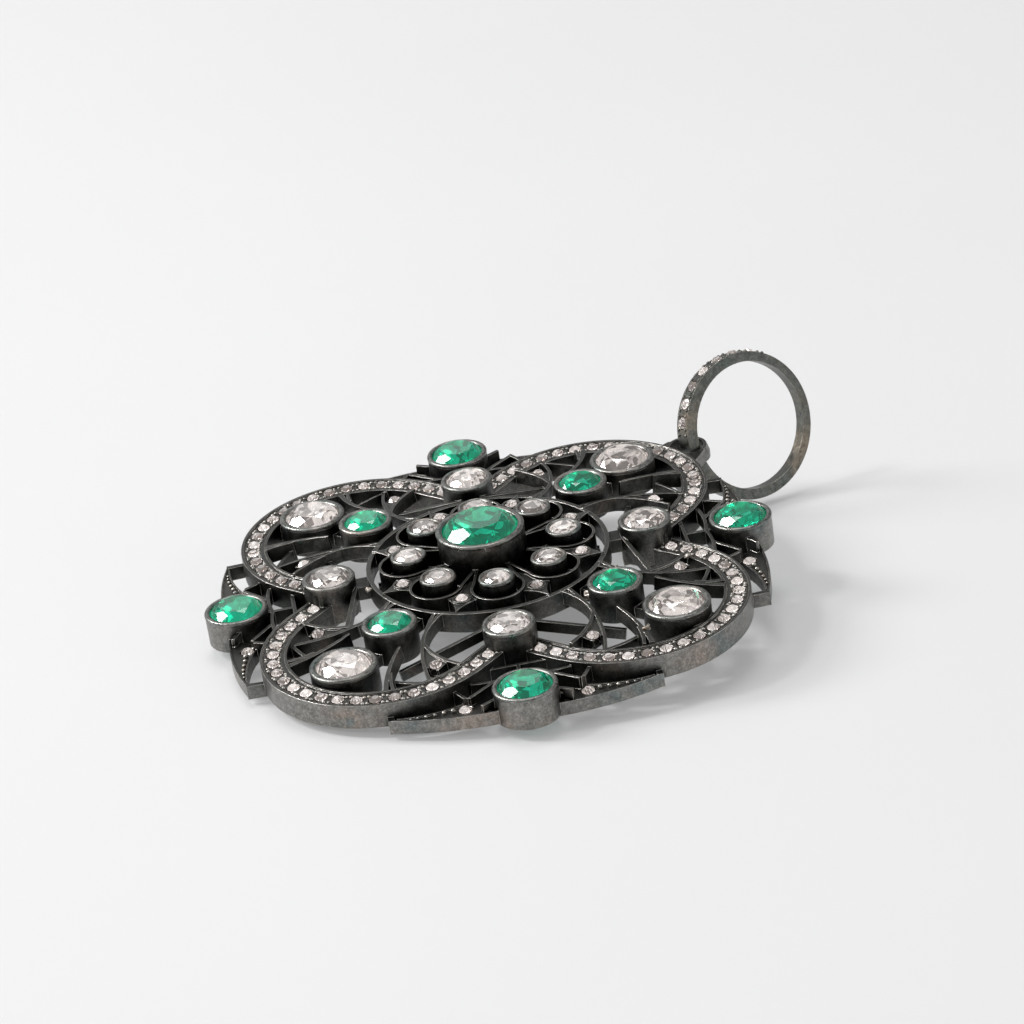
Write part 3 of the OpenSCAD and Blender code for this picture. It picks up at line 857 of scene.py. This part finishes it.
@dataclass(frozen=True)
class Softbox:
    """A rectangular soft light, aimed at the pendant."""

    name: str
    place: Point
    size: tuple[float, float]
    watts: float
    target: Point = (0.0, 0.0, 0.005)

    def build(self) -> None:
        """Builds the light."""
        light = bpy.data.lights.new(self.name, "AREA")
        light.shape = "RECTANGLE"
        light.size, light.size_y = self.size
        light.energy = self.watts
        made = bpy.data.objects.new(self.name, light)
        made.location = self.place
        aim = Vector(self.target) - Vector(self.place)
        made.rotation_euler = aim.to_track_quat("-Z", "Y").to_euler()
        bpy.context.scene.collection.objects.link(made)


@dataclass
class Studio:
    """The room's light: a pale surround and soft boxes."""

    surround: float = 0.37
    boxes: tuple[Softbox, ...] = (
        Softbox("key_front_left", (-0.36, -0.376, 0.608), (0.12, 0.12), 2.0),
        Softbox("fill_left", (-0.58, -0.336, 0.436), (0.28, 0.28), 4.2),
        Softbox("overhead", (-0.12, 0.1, 0.78), (0.3, 0.3), 1.6),
        Softbox("back_left_wall", (-0.67, 0.45, 0.5), (0.4, 0.4), 0.4),
        Softbox("right_wall", (0.75, 0.25, 0.35), (0.5, 0.4), 0.9),
    )

    def build(self) -> None:
        """Builds the lights and the surround."""
        world = bpy.data.worlds.new("surround")
        world.use_nodes = True
        back = world.node_tree.nodes["Background"]
        back.inputs[0].default_value = (1.0, 1.0, 1.0, 1)
        back.inputs[1].default_value = self.surround
        bpy.context.scene.world = world
        for box in self.boxes:
            box.build()
        bpy.context.scene.view_settings.view_transform = "Standard"


@dataclass
class Camera:
    """The photograph's camera, stated in the disc's own layout, in millimetres."""

    place: Point = (181.8, -205.2, 143.4)
    right: Point = (0.7908, 0.5969, -0.1355)
    down: Point = (0.1803, -0.4387, -0.8804)
    ahead: Point = (-0.5849, 0.6718, -0.4545)
    lens_mm: float = 140.625

    def build(self) -> None:
        """Builds the camera."""
        turn = Matrix.Rotation(math.radians(REST.tilt_deg), 3, "X")
        axes = (Vector(self.right), -Vector(self.down), -Vector(self.ahead))
        columns = [turn @ axis for axis in axes]
        pose = Matrix([[column[row] for column in columns] for row in range(3)]).to_4x4()
        pose.translation = REST.matrix() @ Vector(self.place)
        camera = bpy.data.cameras.new("camera")
        camera.sensor_width = 36.0
        camera.lens = self.lens_mm
        camera.clip_start = 0.01
        camera.clip_end = 20.0
        made = bpy.data.objects.new("camera", camera)
        made.matrix_world = pose
        bpy.context.scene.collection.objects.link(made)
        bpy.context.scene.camera = made


def main() -> None:
    """Builds the scene in order."""
    logging.basicConfig(level=logging.INFO, format="%(name)s: %(message)s")
    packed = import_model()
    # Without a seed, Blender's noise starts from the clock
    noise.seed_set(NOISE_SEED)
    finishes = Finishes()
    PackedParts(finishes, packed["nodes"]).build()
    BezelLips(finishes).build()
    BandGrains(finishes).build()
    WingGrains(finishes).build()
    BailGrains(finishes).build()
    SolderLumps(finishes).build()
    Table(finishes).build()
    Studio().build()
    Camera().build()


if __name__ == "__main__":
    main()
